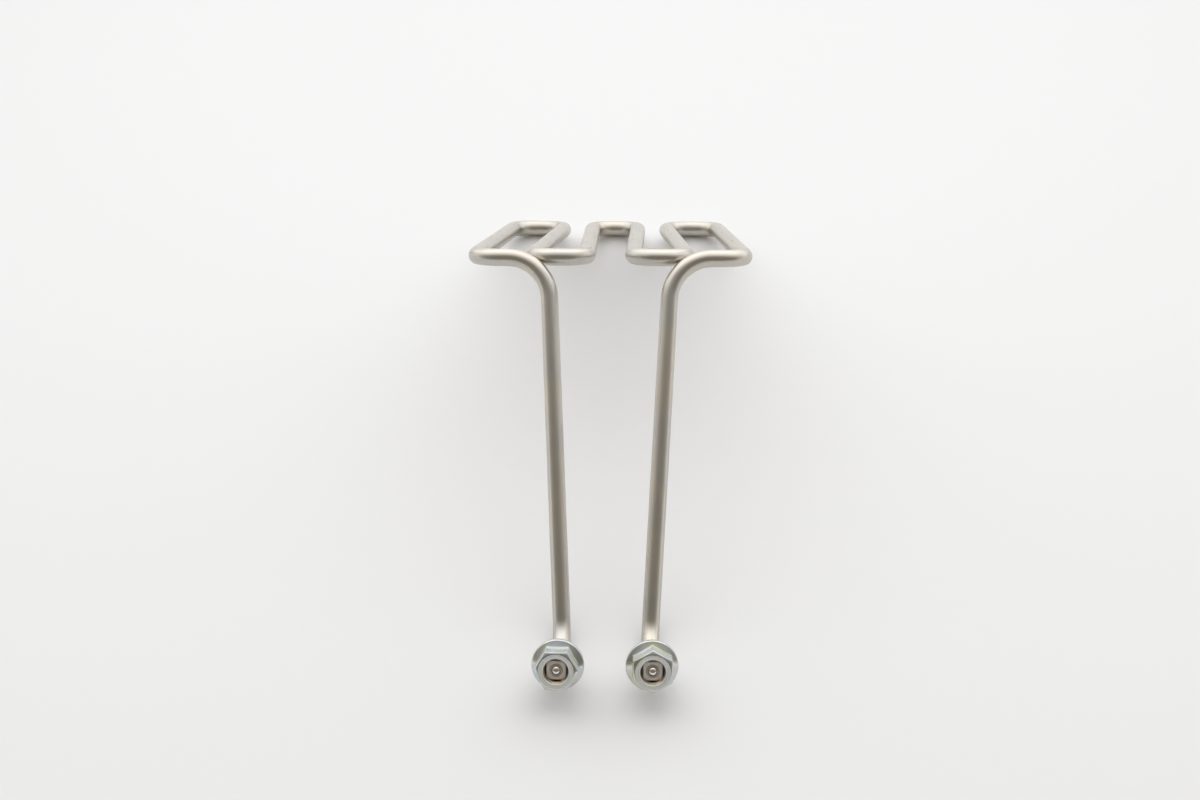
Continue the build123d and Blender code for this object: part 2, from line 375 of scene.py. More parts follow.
class PathTrees:
    """Geometry Nodes trees for what follows a line: the tube, the wire coil and the threads."""

    wire_sides: int = 5
    ridge_sides: int = 4
    fade_turns: float = 0.35
    faded_size: float = 0.15

    def __init__(self) -> None:
        """Builds the three trees."""
        self.tube = self._tube_tree()
        self.coil = self._coil_tree()
        self.thread = self._thread_tree()

    def _captured(self, wiring: Wiring, geometry: Socket, kind: str, name: str, value: Socket) -> Any:
        """Outputs of a node that keeps a value on a geometry, under a name."""
        kept = wiring.add("GeometryNodeCaptureAttribute", {"Geometry": geometry})
        kept.capture_items.new(kind, name)
        wiring.feed(kept.inputs[name], value)
        return kept.outputs

    def _skin(self, wiring: Wiring, line: Socket, length: Socket, radius: Socket,
              sides: Socket) -> Socket:
        """Round skin along a line, which stores where each point was on the straight tube."""
        circle = wiring.result("GeometryNodeCurvePrimitiveCircle",
                               {"Resolution": sides, "Radius": radius})
        place = wiring.result("GeometryNodeInputPosition")
        kept = self._captured(wiring, circle, "VECTOR", "Round Place", place)
        skin = wiring.result("GeometryNodeCurveToMesh",
                             {"Curve": line, "Profile Curve": kept["Geometry"]})
        parts = wiring.add("ShaderNodeSeparateXYZ", {0: kept["Round Place"]}).outputs
        straight = wiring.result("ShaderNodeCombineXYZ", {"X": parts["X"], "Y": parts["Y"], "Z": length})
        return wiring.result("GeometryNodeStoreNamedAttribute",
                             {"Geometry": skin, "Name": "drawn_place", "Value": straight},
                             data_type="FLOAT_VECTOR", domain="POINT")

    def _capped_sweep(self, wiring: Wiring, line: Socket, sides: int, radius: Socket) -> Socket:
        """Solid rod of a few sides along a line."""
        section = wiring.result("GeometryNodeCurvePrimitiveCircle",
                                {"Resolution": sides, "Radius": radius})
        return wiring.result("GeometryNodeCurveToMesh",
                             {"Curve": line, "Profile Curve": section, "Fill Caps": True})

    def _finish(self, wiring: Wiring, geometry: Socket, finish: Socket) -> NodeTree:
        """Ends a tree, realized, smooth and with its material, and hands it back."""
        real = wiring.result("GeometryNodeRealizeInstances", {"Geometry": geometry})
        smooth = wiring.result("GeometryNodeSetShadeSmooth", {"Geometry": real})
        dressed = wiring.result("GeometryNodeSetMaterial", {"Geometry": smooth, "Material": finish})
        wiring.add("NodeGroupOutput", {0: dressed})
        return wiring.tree

    def _tube_tree(self) -> NodeTree:
        """Tube with an outer skin and a bore, open as two loops at each end."""
        wiring, given = new_group(
            "tube_along_line", "GeometryNodeTree",
            {"Geometry": ["Line"], "Float": ["Outer Radius", "Bore Radius"], "Int": ["Sides"],
             "Material": ["Finish"]},
            {"Geometry": ["Tube"]})
        along = wiring.add("GeometryNodeSplineParameter").outputs["Length"]
        kept = self._captured(wiring, given["Line"], "FLOAT", "Length", along)
        outer, bore = [self._skin(wiring, kept["Geometry"], kept["Length"], given[radius], given["Sides"])
                       for radius in ("Outer Radius", "Bore Radius")]
        both = wiring.add("GeometryNodeJoinGeometry")
        for skin in (outer, wiring.result("GeometryNodeFlipFaces", {"Mesh": bore})):
            wiring.feed(both.inputs[0], skin)
        return self._finish(wiring, both.outputs[0], given["Finish"])

    def _coil_tree(self) -> NodeTree:
        """Wire wound as a helix round a line."""
        wiring, given = new_group(
            "wire_round_line", "GeometryNodeTree",
            {"Geometry": ["Line"], "Float": ["Winding Radius", "Wire Radius", "Pitch", "Step"],
             "Material": ["Finish"]},
            {"Geometry": ["Coil"]})
        fine = wiring.result("GeometryNodeResampleCurve",
                             {"Curve": given["Line"], "Length": given["Step"]}, mode="LENGTH")
        along = wiring.add("GeometryNodeSplineParameter").outputs["Length"]
        normal = wiring.result("GeometryNodeInputNormal")
        tangent = wiring.result("GeometryNodeInputTangent")
        sideways = wiring.vector_math("CROSS_PRODUCT", tangent, normal)
        angle = wiring.math("MULTIPLY", wiring.math("DIVIDE", along, given["Pitch"]), math.tau)
        legs = []
        for function, direction in (("COSINE", normal), ("SINE", sideways)):
            reach = wiring.math("MULTIPLY", wiring.math(function, angle), given["Winding Radius"])
            legs.append(wiring.result("ShaderNodeVectorMath", {0: direction, "Scale": reach},
                                      operation="SCALE"))
        wound = wiring.result("GeometryNodeSetPosition",
                              {"Geometry": fine, "Offset": wiring.vector_math("ADD", *legs)})
        wire = self._capped_sweep(wiring, wound, self.wire_sides, given["Wire Radius"])
        return self._finish(wiring, wire, given["Finish"])

    def _thread_tree(self) -> NodeTree:
        """Helical ridge that fades in and out at its ends, round the Z axis from Z = 0."""
        wiring, given = new_group(
            "thread_ridge", "GeometryNodeTree",
            {"Geometry": ["Carrier"], "Float": ["Radius", "Height", "Pitch", "Ridge"],
             "Int": ["Steps"], "Material": ["Finish"]},
            {"Geometry": ["Ridge"]})
        turns = wiring.math("DIVIDE", given["Height"], given["Pitch"])
        helix = wiring.result("GeometryNodeCurveSpiral",
                              {"Resolution": given["Steps"], "Rotations": turns,
                               "Height": given["Height"], "Start Radius": given["Radius"],
                               "End Radius": given["Radius"]})
        upright = wiring.result("GeometryNodeSetCurveNormal", {"Curve": helix}, mode="Z_UP")
        along = wiring.add("GeometryNodeSplineParameter").outputs["Factor"]
        nearest = wiring.math("MINIMUM", along, wiring.math("SUBTRACT", 1.0, along))
        from_end = wiring.math("MULTIPLY", nearest, turns)
        fade = wiring.band(from_end, 0.0, self.fade_turns, self.faded_size, 1.0)
        faded = wiring.result("GeometryNodeSetCurveRadius", {"Curve": upright, "Radius": fade})
        ridge = self._capped_sweep(wiring, faded, self.ridge_sides, given["Ridge"])
        return self._finish(wiring, ridge, given["Finish"])

    @staticmethod
    def grow(tree: NodeTree, name: str, line: Sequence[Vector] | None,
             values: dict[str, Any]) -> Mesh:
        """Runs a tree and keeps its result.

        Args:
            tree: The Geometry Nodes tree.
            name: Name of the finished mesh.
            line: Points of the line that the tree follows, if it follows one.
            values: The tree's named inputs.

        Returns:
            A plain mesh, with the modifier and its carrier gone.
        """
        curve = bpy.data.curves.new(name + "_line", "CURVE")
        curve.dimensions = "3D"
        spline = curve.splines.new("POLY")
        points = line or [Vector((0.0, 0.0, 0.0)), Vector((0.0, 0.0, 1.0))]
        spline.points.add(len(points) - 1)
        for place, point in zip(spline.points, points):
            place.co = (*point, 1.0)
        carrier = new_object(name + "_line", curve)
        modifier = carrier.modifiers.new(name, "NODES")
        modifier.node_group = tree
        set_modifier_inputs(modifier, values)
        bpy.context.view_layer.update()
        evaluated = carrier.evaluated_get(bpy.context.evaluated_depsgraph_get())
        mesh = bpy.data.meshes.new_from_object(evaluated)
        mesh.name = name
        bpy.data.objects.remove(carrier)
        bpy.data.curves.remove(curve)
        return mesh


# Mesh helpers

Outline = Callable[[float], float]
Measure = float | Outline
Ring = tuple[Measure, Measure]


def at(measure: Measure, angle: float) -> float:
    """Value of a measure, which is one number or depends on the angle."""
    return measure(angle) if callable(measure) else measure


def moved(measure: Measure, amount: float) -> Measure:
    """Measure with an amount added."""
    return (lambda angle: measure(angle) + amount) if callable(measure) else measure + amount


def chamfered_edge(radius: Measure, face: float, side: int, chamfer: float, soft: float) -> list[Ring]:
    """Rings of an outer edge whose chamfer has softened corners.

    Args:
        radius: The piece's radius beside the edge.
        face: Height of the end face that the edge borders.
        side: 1 where that face looks up, -1 where it looks down.
        chamfer: Width of the chamfer.
        soft: Size of the softened corners.

    Returns:
        Four rings, from the piece's side onto its end face.
    """
    places = ((0.0, -chamfer - soft), (-0.4 * soft, -chamfer + 0.5 * soft),
              (-chamfer + 0.5 * soft, -0.4 * soft), (-chamfer - soft, 0.0))
    return [(moved(radius, out), face + side * up) for out, up in places]


def polygon_radius(across_flats: float, sides: int, corner_softness: float) -> Outline:
    """Outline of a regular polygon with lightly rounded corners.

    Args:
        across_flats: Distance between opposite flats.
        sides: How many flats there are, an even number.
        corner_softness: How much lower than sharp a corner is.

    Returns:
        The outline's radius as a function of the angle, with a flat's middle at angle 0.
    """
    step = math.tau / sides
    corner = across_flats / 2 / math.cos(step / 2) - corner_softness

    def radius(angle: float) -> float:
        """Radius of the outline at an angle."""
        from_flat = (angle + step / 2) % step - step / 2
        return min(across_flats / 2 / math.cos(from_flat), corner)

    return radius


def turned_mesh(name: str, rings: Sequence[Ring], steps: int, matrix: Matrix) -> Mesh:
    """Mesh of a ring-shaped piece, closed from its last ring back to its first.

    Args:
        name: Name of the mesh.
        rings: The profile's rings in order, each as its radius and height.
        steps: How many columns go round the piece.
        matrix: Place of the piece, from millimetres to metres.

    Returns:
        A closed mesh whose faces point outwards.
    """
    shape = bmesh.new()
    loops = []
    for outline, level in rings:
        loop = []
        for angle in (math.tau * step / steps for step in range(steps)):
            radius = at(outline, angle)
            place = (radius * math.cos(angle), radius * math.sin(angle), at(level, angle))
            loop.append(shape.verts.new(place))
        loops.append(loop)
    for loop, following in zip(loops, loops[1:] + loops[:1]):
        for step in range(steps):
            ahead = (step + 1) % steps
            shape.faces.new((loop[step], loop[ahead], following[ahead], following[step]))
    shape.transform(matrix)
    return finished_mesh(name, shape)


def face_outwards(shape: bmesh.types.BMesh) -> None:
    """Turns every face of a closed shape away from its inside."""
    bmesh.ops.recalc_face_normals(shape, faces=shape.faces)
    if shape.calc_volume(signed=True) < 0:
        bmesh.ops.reverse_faces(shape, faces=shape.faces)


def finished_mesh(name: str, shape: bmesh.types.BMesh, sharp_angle: float = 32.0) -> Mesh:
    """Turns a closed shape the right way out and shades it.

    Args:
        name: Name of the mesh.
        shape: The closed shape, which this frees.
        sharp_angle: Angle between faces, in degrees, from which their edge is sharp.

    Returns:
        The mesh.
    """
    face_outwards(shape)
    for face in shape.faces:
        face.smooth = True
    mesh = bpy.data.meshes.new(name)
    shape.to_mesh(mesh)
    shape.free()
    mesh.set_sharp_from_angle(angle=math.radians(sharp_angle))
    return mesh


def dress_bands(mesh: Mesh, steps: int, materials: Sequence[Material], bands: dict[int, int]) -> None:
    """Gives a turned mesh several materials.

    Args:
        mesh: The mesh.
        steps: How many faces each band has.
        materials: The materials, of which the first is for every band that isn't named.
        bands: Which material a band has, by the number of the ring that it starts from.
    """
    for material in materials:
        mesh.materials.append(material)
    for band, index in bands.items():
        for face in mesh.polygons[band * steps:(band + 1) * steps]:
            face.material_index = index


def show_piece(name: str, mesh: Mesh, finish: Material | None,
               replaced: Sequence[str] = ()) -> Object:
    """Puts a finished mesh in the scene as a piece of the element.

    Args:
        name: Name of the piece.
        mesh: Its mesh, in metres where it lies.
        finish: Its material, or None if the mesh has it already.
        replaced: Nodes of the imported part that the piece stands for.

    Returns:
        The new object.
    """
    piece = new_object(name, mesh)
    if finish is not None:
        mesh.materials.clear()
        mesh.materials.append(finish)
    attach(piece, "root")
    if replaced:
        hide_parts(*replaced)
    LOG.info("%s: %d faces", name, len(mesh.polygons))
    return piece


# Finishes


def even(scale: float) -> Scale:
    """Scale that is the same along all three axes."""
    return (scale, scale, scale)


class EffectGroups:
    """Shader node groups that more than one finish uses."""

    grain_detail: float = 3.0
    scuff_detail: float = 2.0
    grain_roughness: float = 0.55
    scuff_threshold: float = 0.78
    threshold_drop: float = 0.3
    scuff_contrast: float = 9.0
    drift_detail: float = 2.0
    drift_roughness: float = 0.5
    drift_distortion: float = 0.6
    cool_band: tuple[float, float] = (0.56, 0.40)
    warm_band: tuple[float, float] = (0.50, 0.66)

    def __init__(self) -> None:
        """Builds the two groups."""
        self.grain = self._grain_group()
        self.drift = self._drift_group()

    def _grain_group(self) -> NodeTree:
        """Fine grain, stretched by a scale for each axis, with a sparse layer of scuffs."""
        wiring, given = new_group(
            "surface_grain", "ShaderNodeTree",
            {"Vector": ["Vector", "Grain Scale", "Scuff Scale"], "Float": ["Scuff Share"]},
            {"Float": ["Grain", "Scuffs"]})
        fields = []
        for scale_name, detail in (("Grain Scale", self.grain_detail), ("Scuff Scale", self.scuff_detail)):
            stretched = wiring.vector_math("MULTIPLY", given["Vector"], given[scale_name])
            fields.append(wiring.result("ShaderNodeTexNoise",
                                        {"Vector": stretched, "Scale": 1.0, "Detail": detail,
                                         "Roughness": self.grain_roughness}))
        drop = wiring.math("MULTIPLY", given["Scuff Share"], self.threshold_drop)
        over = wiring.math("SUBTRACT", fields[1], wiring.math("SUBTRACT", self.scuff_threshold, drop))
        scuffs = wiring.result("ShaderNodeMath", {0: over, 1: self.scuff_contrast}, operation="MULTIPLY",
                               use_clamp=True)
        wiring.add("NodeGroupOutput", {"Grain": fields[0], "Scuffs": scuffs})
        return wiring.tree

    def _drift_group(self) -> NodeTree:
        """Colour that drifts slowly over a surface between three tints."""
        wiring, given = new_group(
            "tint_drift", "ShaderNodeTree",
            {"Vector": ["Vector"], "Color": ["Main", "Cool", "Warm"], "Float": ["Scale", "Strength"]},
            {"Color": ["Color"]})
        noise = wiring.result("ShaderNodeTexNoise",
                              {"Vector": given["Vector"], "Scale": given["Scale"],
                               "Detail": self.drift_detail, "Roughness": self.drift_roughness,
                               "Distortion": self.drift_distortion})
        colour = given["Main"]
        for tint, ends in (("Cool", self.cool_band), ("Warm", self.warm_band)):
            share = wiring.math("MULTIPLY", wiring.band(noise, *ends), given["Strength"])
            colour = wiring.blend(share, colour, given[tint])
        wiring.add("NodeGroupOutput", {"Color": colour})
        return wiring.tree


class Place(Enum):
    """Which coordinates a finish's pattern follows."""

    OBJECT = "Object"
    DRAWN_TUBE = "drawn_place"


@dataclass(frozen=True)
class SurfaceFinish:
    """One finish: three tints, gloss, grain and how far it is metal.

    The scales are per metre, so 1000 is one cell of the pattern to a millimetre.
    """

    name: str
    main: Colour
    cool: Colour
    warm: Colour
    tint_scale: float
    roughness: float
    grain_scale: Scale
    grain_depth: float
    tint_strength: float = 0.6
    roughness_spread: float = 0.06
    scuff_scale: Scale = even(900.0)
    scuff_share: float = 0.3
    scuff_darkness: float = 0.3
    metallic: float = 1.0
    coat_weight: float = 0.0
    place: Place = Place.OBJECT

    shaded_share: ClassVar[float] = 0.45
    scuff_dulling: ClassVar[float] = 0.12
    coat_roughness: ClassVar[float] = 0.12
    grain_band: ClassVar[tuple[float, float]] = (0.3, 0.7)

    def material(self, effects: EffectGroups) -> Material:
        """Builds the finish's node material.

        Args:
            effects: The shared node groups.

        Returns:
            The material.
        """
        material = bpy.data.materials.new(self.name)
        wiring = cleared_nodes(material)
        where = self._coordinates(wiring)
        drift = wiring.add("ShaderNodeGroup", node_tree=effects.drift)
        wiring.feed_all(drift, {"Vector": where, "Scale": self.tint_scale, "Main": self.main,
                                "Cool": self.cool, "Warm": self.warm, "Strength": self.tint_strength})
        grain = wiring.add("ShaderNodeGroup", node_tree=effects.grain)
        wiring.feed_all(grain, {"Vector": where, "Grain Scale": self.grain_scale,
                                "Scuff Scale": self.scuff_scale, "Scuff Share": self.scuff_share})
        scuffs = grain.outputs["Scuffs"]
        dulled = wiring.math("MULTIPLY", scuffs, self.scuff_darkness)
        shade = tuple(channel * self.shaded_share for channel in self.main)
        colour = wiring.blend(dulled, drift.outputs["Color"], shade)
        low, high = self.roughness - self.roughness_spread, self.roughness + self.roughness_spread
        gloss = wiring.band(grain.outputs["Grain"], *self.grain_band, low, high)
        worn = wiring.math("ADD", gloss, wiring.math("MULTIPLY", scuffs, self.scuff_dulling))
        bump = wiring.add("ShaderNodeBump",
                          {"Height": grain.outputs["Grain"], "Distance": self.grain_depth * MM,
                           "Strength": 1.0})
        shader = wiring.add("ShaderNodeBsdfPrincipled",
                            {"Base Color": colour, "Roughness": worn, "Metallic": self.metallic,
                             "Coat Weight": self.coat_weight, "Coat Roughness": self.coat_roughness,
                             "Normal": bump.outputs["Normal"]})
        wiring.add("ShaderNodeOutputMaterial", {"Surface": shader.outputs["BSDF"]})
        return material

    def _coordinates(self, wiring: Wiring) -> Socket:
        """Coordinates of the pattern, from the object or from the straight tube."""
        if self.place is Place.OBJECT:
            return wiring.add("ShaderNodeTexCoord").outputs["Object"]
        attribute = wiring.add("ShaderNodeAttribute", attribute_name=self.place.value)
        return attribute.outputs["Vector"]


STAINLESS = SurfaceFinish(
    name="drawn_stainless_steel", main=(0.565, 0.53, 0.475), cool=(0.53, 0.515, 0.48),
    warm=(0.58, 0.535, 0.455), tint_scale=40.0, tint_strength=0.8, roughness=0.35,
    roughness_spread=0.03, grain_scale=(3800.0, 3800.0, 55.0), grain_depth=0.0018,
    scuff_scale=(1100.0, 1100.0, 45.0), scuff_share=0.62, place=Place.DRAWN_TUBE)

ZINC = SurfaceFinish(
    name="passivated_zinc", main=(0.59, 0.605, 0.575), cool=(0.53, 0.575, 0.61),
    warm=(0.53, 0.54, 0.42), tint_scale=85.0, tint_strength=0.75, roughness=0.20,
    roughness_spread=0.04, grain_scale=even(1700.0), grain_depth=0.006,
    scuff_scale=(750.0, 600.0, 820.0), metallic=0.95)

# Painted light: a lighter, less metallic copy of the zinc, so that the nut's front face and mouth show
# brighter than their light makes them.
NUT_FACE_ZINC_PAINTED_LIGHT = SurfaceFinish(
    name="nut_face_zinc_painted_light", main=(0.76, 0.77, 0.755), cool=(0.72, 0.755, 0.78), warm=(0.74, 0.745, 0.66),
    tint_scale=120.0, roughness=0.48, grain_scale=even(1900.0), grain_depth=0.006,
    scuff_scale=even(800.0), scuff_darkness=0.25, metallic=0.35)

NICKEL = SurfaceFinish(
    name="turned_nickel", main=(0.66, 0.62, 0.57), cool=(0.63, 0.61, 0.585),
    warm=(0.68, 0.61, 0.53), tint_scale=200.0, roughness=0.34, roughness_spread=0.05,
    grain_scale=even(2400.0), grain_depth=0.008, scuff_scale=(700.0, 800.0, 650.0),
    scuff_share=0.35, scuff_darkness=0.35)

# Painted light: a lighter, less metallic copy of the nickel, so that the square-milled end shows brighter
# than its light makes it.
MILLED_END_NICKEL_PAINTED_LIGHT = SurfaceFinish(
    name="milled_end_nickel_painted_light", main=(0.82, 0.75, 0.69), cool=(0.79, 0.745, 0.71),
    warm=(0.84, 0.74, 0.65), tint_scale=200.0, roughness=0.46, grain_scale=even(2400.0),
    grain_depth=0.010, scuff_scale=(700.0, 800.0, 650.0), scuff_share=0.35, scuff_darkness=0.35,
    metallic=0.3)

PIN_STEEL = SurfaceFinish(
    name="bright_pin_steel", main=(0.74, 0.70, 0.655), cool=(0.70, 0.69, 0.67),
    warm=(0.76, 0.69, 0.60), tint_scale=260.0, tint_strength=0.5, roughness=0.18,
    roughness_spread=0.04, grain_scale=even(3000.0), grain_depth=0.005, scuff_share=0.2)

# Painted shade and painted glints: the nut's thread and bore are coloured near-black brown to stand for the
# shade in the recess, and the warm tint stands for gold glints in it.
NUT_THREAD_SHADE_AND_GLINTS = SurfaceFinish(
    name="nut_thread_painted_shade_and_glints", main=(0.24, 0.20, 0.15), cool=(0.20, 0.20, 0.19),
    warm=(0.52, 0.37, 0.20), tint_scale=260.0, tint_strength=0.8, roughness=0.34,
    grain_scale=even(2200.0), grain_depth=0.008, scuff_scale=even(800.0), scuff_darkness=0.4)

BRAZE = SurfaceFinish(
    name="braze_alloy", main=(0.66, 0.56, 0.40), cool=(0.60, 0.57, 0.50), warm=(0.66, 0.46, 0.28),
    tint_scale=380.0, tint_strength=0.7, roughness=0.34, roughness_spread=0.08,
    grain_scale=even(1500.0), grain_depth=0.03, scuff_share=0.4, scuff_darkness=0.4)

CERAMIC = SurfaceFinish(
    name="glazed_ceramic", main=(0.50, 0.46, 0.41), cool=(0.47, 0.46, 0.44),
    warm=(0.50, 0.42, 0.34), tint_scale=300.0, tint_strength=0.5, roughness=0.42,
    roughness_spread=0.08, grain_scale=even(2600.0), grain_depth=0.012, scuff_scale=even(1200.0),
    metallic=0.0, coat_weight=0.35)

RESIN = SurfaceFinish(
    name="cured_resin", main=(0.30, 0.22, 0.14), cool=(0.27, 0.21, 0.15), warm=(0.34, 0.23, 0.12),
    tint_scale=350.0, roughness=0.38, roughness_spread=0.08, grain_scale=even(1800.0),
    grain_depth=0.02, metallic=0.0, coat_weight=0.2)

POWDER = SurfaceFinish(
    name="packed_mineral_powder", main=(0.80, 0.78, 0.73), cool=(0.76, 0.76, 0.74),
    warm=(0.80, 0.75, 0.66), tint_scale=180.0, roughness=0.88, grain_scale=even(5200.0),
    grain_depth=0.05, scuff_darkness=0.2, metallic=0.0)

WIRE = SurfaceFinish(
    name="oxidised_resistance_wire", main=(0.32, 0.31, 0.30), cool=(0.27, 0.29, 0.32),
    warm=(0.36, 0.30, 0.24), tint_scale=90.0, tint_strength=0.7, roughness=0.42,
    roughness_spread=0.08, grain_scale=even(4200.0), grain_depth=0.006, scuff_share=0.4)

PALETTE = (STAINLESS, ZINC, NUT_FACE_ZINC_PAINTED_LIGHT, NICKEL, MILLED_END_NICKEL_PAINTED_LIGHT, PIN_STEEL, NUT_THREAD_SHADE_AND_GLINTS, BRAZE,
           CERAMIC, RESIN, POWDER, WIRE)


# Pieces of the element


@dataclass(frozen=True)
class Bench:
    """What the pieces are built with: the tube's route and place, the trees and the materials."""

    route: SheathRoute
    placement: Placement
    trees: PathTrees
    materials: dict[SurfaceFinish, Material]

    def laid(self, line: Sequence[Vector]) -> list[Vector]:
        """Points of the flat frame, in metres where they lie on the table."""
        return [self.placement.point(point) for point in line]

    def terminal(self, side: Side) -> Matrix:
        """Frame of a terminal."""
        return self.placement.terminal_matrix(self.route, side)

    def chosen(self, *finishes: SurfaceFinish) -> list[Material]:
        """Materials of these finishes."""
        return [self.materials[finish] for finish in finishes]


@dataclass(frozen=True)
class SheathTube:
    """The bent tube, with its wall."""

    outer_radius: float = 4.25
    wall: float = 0.75
    sheath_end: float = 29.0
    sides: int = 56
    end_reach: float = 1.5
    sharp_angle: float = 40.0

    def build(self, bench: Bench) -> Object:
        """Sweeps the tube along its route and closes its two ends.

        Args:
            bench: What the pieces are built with.

        Returns:
            The sheath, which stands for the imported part's own.
        """
        line = bench.laid(bench.route.centre_line(self.sheath_end))
        values = {"Outer Radius": self.outer_radius * MM, "Sides": self.sides,
                  "Finish": bench.materials[STAINLESS],
                  "Bore Radius": (self.outer_radius - self.wall) * MM}
        mesh = bench.trees.grow(bench.trees.tube, "bent_sheath", line, values)
        shape = bmesh.new()
        shape.from_mesh(mesh)
        reach = self.outer_radius * MM * self.end_reach
        for end in (line[0], line[-1]):
            rim = [edge for edge in shape.edges
                   if edge.is_boundary and (edge.verts[0].co - end).length < reach]
            bmesh.ops.bridge_loops(shape, edges=rim)
        face_outwards(shape)
        shape.to_mesh(mesh)
        shape.free()
        mesh.set_sharp_from_angle(angle=math.radians(self.sharp_angle))
        return show_piece("bent_sheath", mesh, None, ["sheath_tube"])


@dataclass(frozen=True)
class ResistanceWire:
    """The coiled wire in the filling of the heated length."""

    leg_start: float = 127.0
    coil_radius: float = 1.6
    wire_radius: float = 0.24
    pitch: float = 2.4
    steps_per_turn: float = 10.0

    def build(self, bench: Bench) -> Object:
        """Winds the wire along the heated length.

        Args:
            bench: What the pieces are built with.

        Returns:
            The coil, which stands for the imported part's own.
        """
        line = bench.laid(bench.route.hot_line(self.leg_start))
        values = {"Winding Radius": (self.coil_radius - self.wire_radius) * MM,
                  "Wire Radius": self.wire_radius * MM, "Pitch": self.pitch * MM,
                  "Step": self.pitch / self.steps_per_turn * MM, "Finish": bench.materials[WIRE]}
        mesh = bench.trees.grow(bench.trees.coil, "resistance_wire", line, values)
        return show_piece("resistance_wire", mesh, None, ["resistance_coil"])


@dataclass(frozen=True)
class ThreadRidge:
    """Fine thread on a bush or in a nut."""

    pitch: float = 1.0
    depth: float = 0.42
    steps_per_turn: int = 72

    def build(self, name: str, radius: float, ends: tuple[float, float], slot_name: str, side: Side,
              finish: SurfaceFinish, bench: Bench) -> Object:
        """Winds one thread round a terminal's axis.

        Args:
            name: Name of the piece.
            radius: Radius of the line that the ridge is centred on.
            ends: Distances from the elbow at which it starts and ends.
            slot_name: Not used.
            side: Which terminal it is on.
            finish: Its finish.
            bench: What the pieces are built with.

        Returns:
            The ridge.
        """
        start, end = ends
        material = bench.materials[finish]
        turns = (end - start) / self.pitch
        values = {"Radius": radius, "Height": end - start, "Pitch": self.pitch, "Ridge": self.depth,
                  "Steps": round(turns * self.steps_per_turn), "Finish": material}
        mesh = bench.trees.grow(bench.trees.thread, name, None, values)
        mesh.transform(bench.terminal(side) @ Matrix.Translation((0.0, 0.0, start)))
        shape = bmesh.new()
        shape.from_mesh(mesh)
        return show_piece(name, finished_mesh(name, shape), material)


@dataclass(frozen=True)
class FlangeNut:
    """Hexagon nut with a conical flange, chamfered corners and a countersunk bore."""

    seat: float = 25.0
    height: float = 12.0
    across_flats: float = 18.0
    flange_radius: float = 12.2
    rim_thickness: float = 1.9
    slope_angle: float = 25.0
    chamfer_angle: float = 30.0
    bore_radius: float = 5.9
    mouth_chamfer: float = 0.6
    edge_round: float = 0.16
    corner_softness: float = 0.12
    steps: int = 288
    front_face_band: int = 15
    mouth_band: int = 17
    bore_band: int = 18

    def rings(self) -> list[Ring]:
        """Profile of the nut, from the seat's countersink out, over the top and down the bore."""
        flat = polygon_radius(self.across_flats, 6, self.corner_softness)
        face = self.across_flats / 2 - self.mouth_chamfer
        slope = math.tan(math.radians(self.slope_angle))
        chamfer = math.tan(math.radians(self.chamfer_angle))
        soft = self.edge_round

        def foot(angle: float) -> float:
            """Height at which a flat meets the flange's cone."""
            return self.rim_thickness + (self.flange_radius - flat(angle)) * slope

        def shoulder(angle: float) -> float:
            """Height at which a flat meets the chamfer on the corners."""
            return self.height - (flat(angle) - face) * chamfer

        bore, rim, top, rim_top = self.bore_radius, self.flange_radius, self.height, self.rim_thickness
        mouth = bore + self.mouth_chamfer
        return [
            (bore, self.mouth_chamfer), (mouth, 0.0),
            (rim - 3 * soft, 0.0), (rim - soft, 0.35 * soft), (rim, 2 * soft),
            (rim, rim_top - 2 * soft), (rim - 0.8 * soft, rim_top - 0.2 * soft),
            (rim - 3 * soft, rim_top + 3 * soft * slope),
            (moved(flat, 2 * soft), moved(foot, -2 * soft * slope)),
            (moved(flat, 0.5 * soft), moved(foot, 0.4 * soft)),
            (flat, moved(foot, 2.2 * soft)), (flat, moved(shoulder, -soft)),
            (moved(flat, -0.3 * soft), moved(shoulder, -0.1 * soft)),
            (moved(flat, -soft), moved(shoulder, soft * chamfer)),
            (face + 0.8 * soft, top - 0.8 * soft * chamfer), (face - soft, top),
            (mouth + 0.6 * soft, top), (mouth, top - 0.3 * soft), (bore, top - self.mouth_chamfer),
        ]

    def build(self, side: Side, turn: float, bench: Bench) -> Object:
        """Makes one nut on its bush.

        Args:
            side: Which terminal it is on.
            turn: Its turn on the thread, in degrees.
            bench: What the pieces are built with.

        Returns:
            The nut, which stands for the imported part's own.
        """
        name = side.label + "_nut"
        seated = bench.terminal(side) @ Matrix.Translation((0.0, 0.0, self.seat))
        place = seated @ Matrix.Rotation(math.radians(90.0 + turn), 4, "Z")
        mesh = turned_mesh(name, self.rings(), self.steps, place)
        # The bore band takes the nut thread's finish, whose dark colour is painted shade.
        # The front face and mouth take the lighter copy of the zinc, which is painted light.
        dress_bands(mesh, self.steps, bench.chosen(ZINC, NUT_FACE_ZINC_PAINTED_LIGHT, NUT_THREAD_SHADE_AND_GLINTS),
                    {self.front_face_band: 1, self.mouth_band: 1, self.bore_band: 2})
        return show_piece(name, mesh, None, [side.label + "_flange_nut"])


